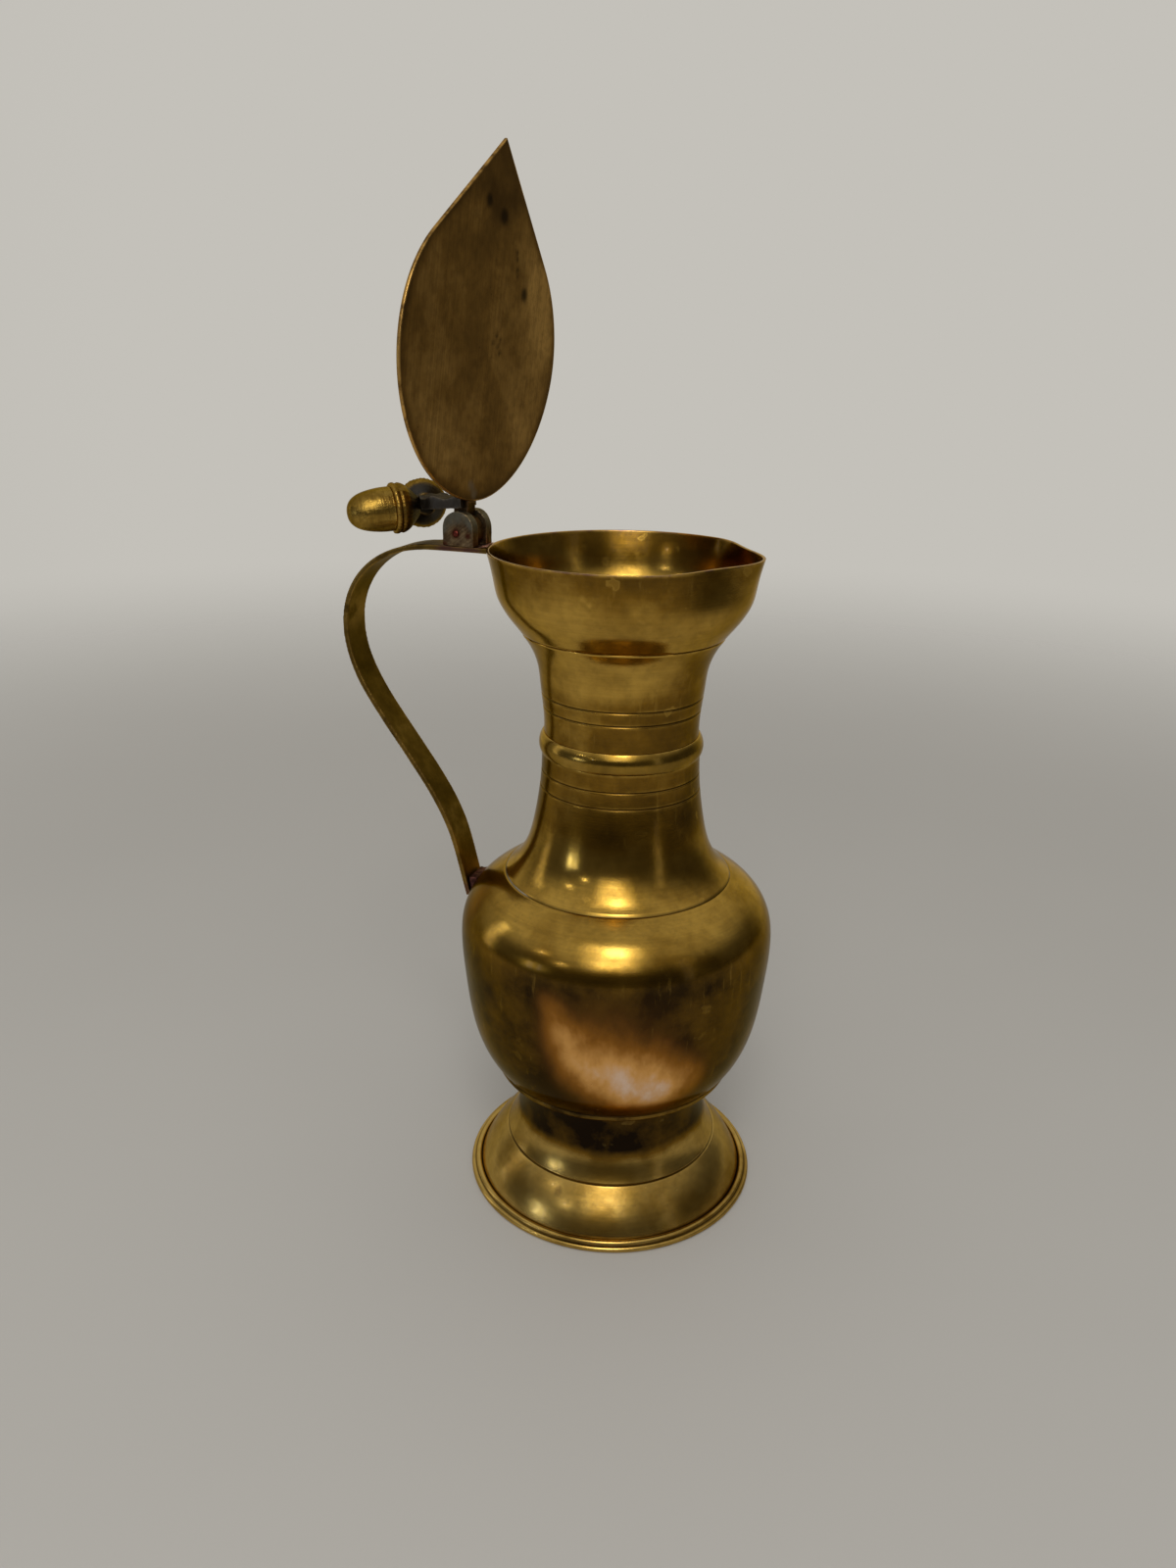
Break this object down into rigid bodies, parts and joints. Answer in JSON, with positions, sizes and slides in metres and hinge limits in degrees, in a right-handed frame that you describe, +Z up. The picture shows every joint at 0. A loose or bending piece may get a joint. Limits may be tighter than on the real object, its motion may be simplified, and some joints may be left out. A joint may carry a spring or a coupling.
{
  "type": "lidded pitcher",
  "caption": "Brass pitcher with a hollow foot, round belly, flared neck, pinched mouth, strap handle and a hinged leaf-shaped lid with an acorn thumbpiece.",
  "frame": {"origin": "middle of the ring that the foot rests on, on the vessel's axis", "axes": "+Z up along the vessel's axis, +X towards the pouring point, handle and hinge towards -X"},
  "size_m": [0.1669, 0.1178, 0.3782],
  "materials": {
    "foot_brass": "polished brass with brown tarnish and water spots",
    "belly_brass": "polished brass with brown and rose tarnish",
    "neck_brass": "polished brass with lathe lines and brown tarnish",
    "collar_brass": "polished brass, worn bright on its crown",
    "cup_brass": "polished brass with lathe lines inside",
    "strap_brass": "dull satin brass with worn edges",
    "ear_brass": "filed brass with grey-green patina",
    "knuckle_brass": "filed brown brass",
    "pin_copper": "dark copper-coloured rivet",
    "braze_copper": "copper-pink brazing filler",
    "lid_brass": "dull satin brass with brown stains",
    "plate_brass": "filed brass smeared with grey solder",
    "acorn_cup_brass": "striated brass, grey solder at the back",
    "acorn_nut_brass": "bright brass with fine file hatching"
  },
  "bodies": {
    "vessel": {"foot": "foot_brass", "belly": "belly_brass", "lower_neck": "neck_brass", "collar": "collar_brass", "upper_neck": "neck_brass", "mouth_cup": "cup_brass", "handle_strap": "strap_brass", "front_hinge_ear": "ear_brass", "rear_hinge_ear": "ear_brass", "hinge_pin": "pin_copper", "rim_braze": "braze_copper", "shoulder_braze": "braze_copper"},
    "lid": {"lid_plate": "lid_brass", "lid_knuckle": "knuckle_brass", "thumb_plate": "plate_brass", "front_acorn_cup": "acorn_cup_brass", "rear_acorn_cup": "acorn_cup_brass", "front_acorn_nut": "acorn_nut_brass", "rear_acorn_nut": "acorn_nut_brass"}
  },
  "joints": [
    {"name": "lid_hinge", "type": "hinge", "parent": "vessel", "child": "lid", "pos_m": [-0.0602, 0, 0.2526], "axis": [0.1045, 0.9945, 0], "range_deg": [0, 86]}
  ]
}
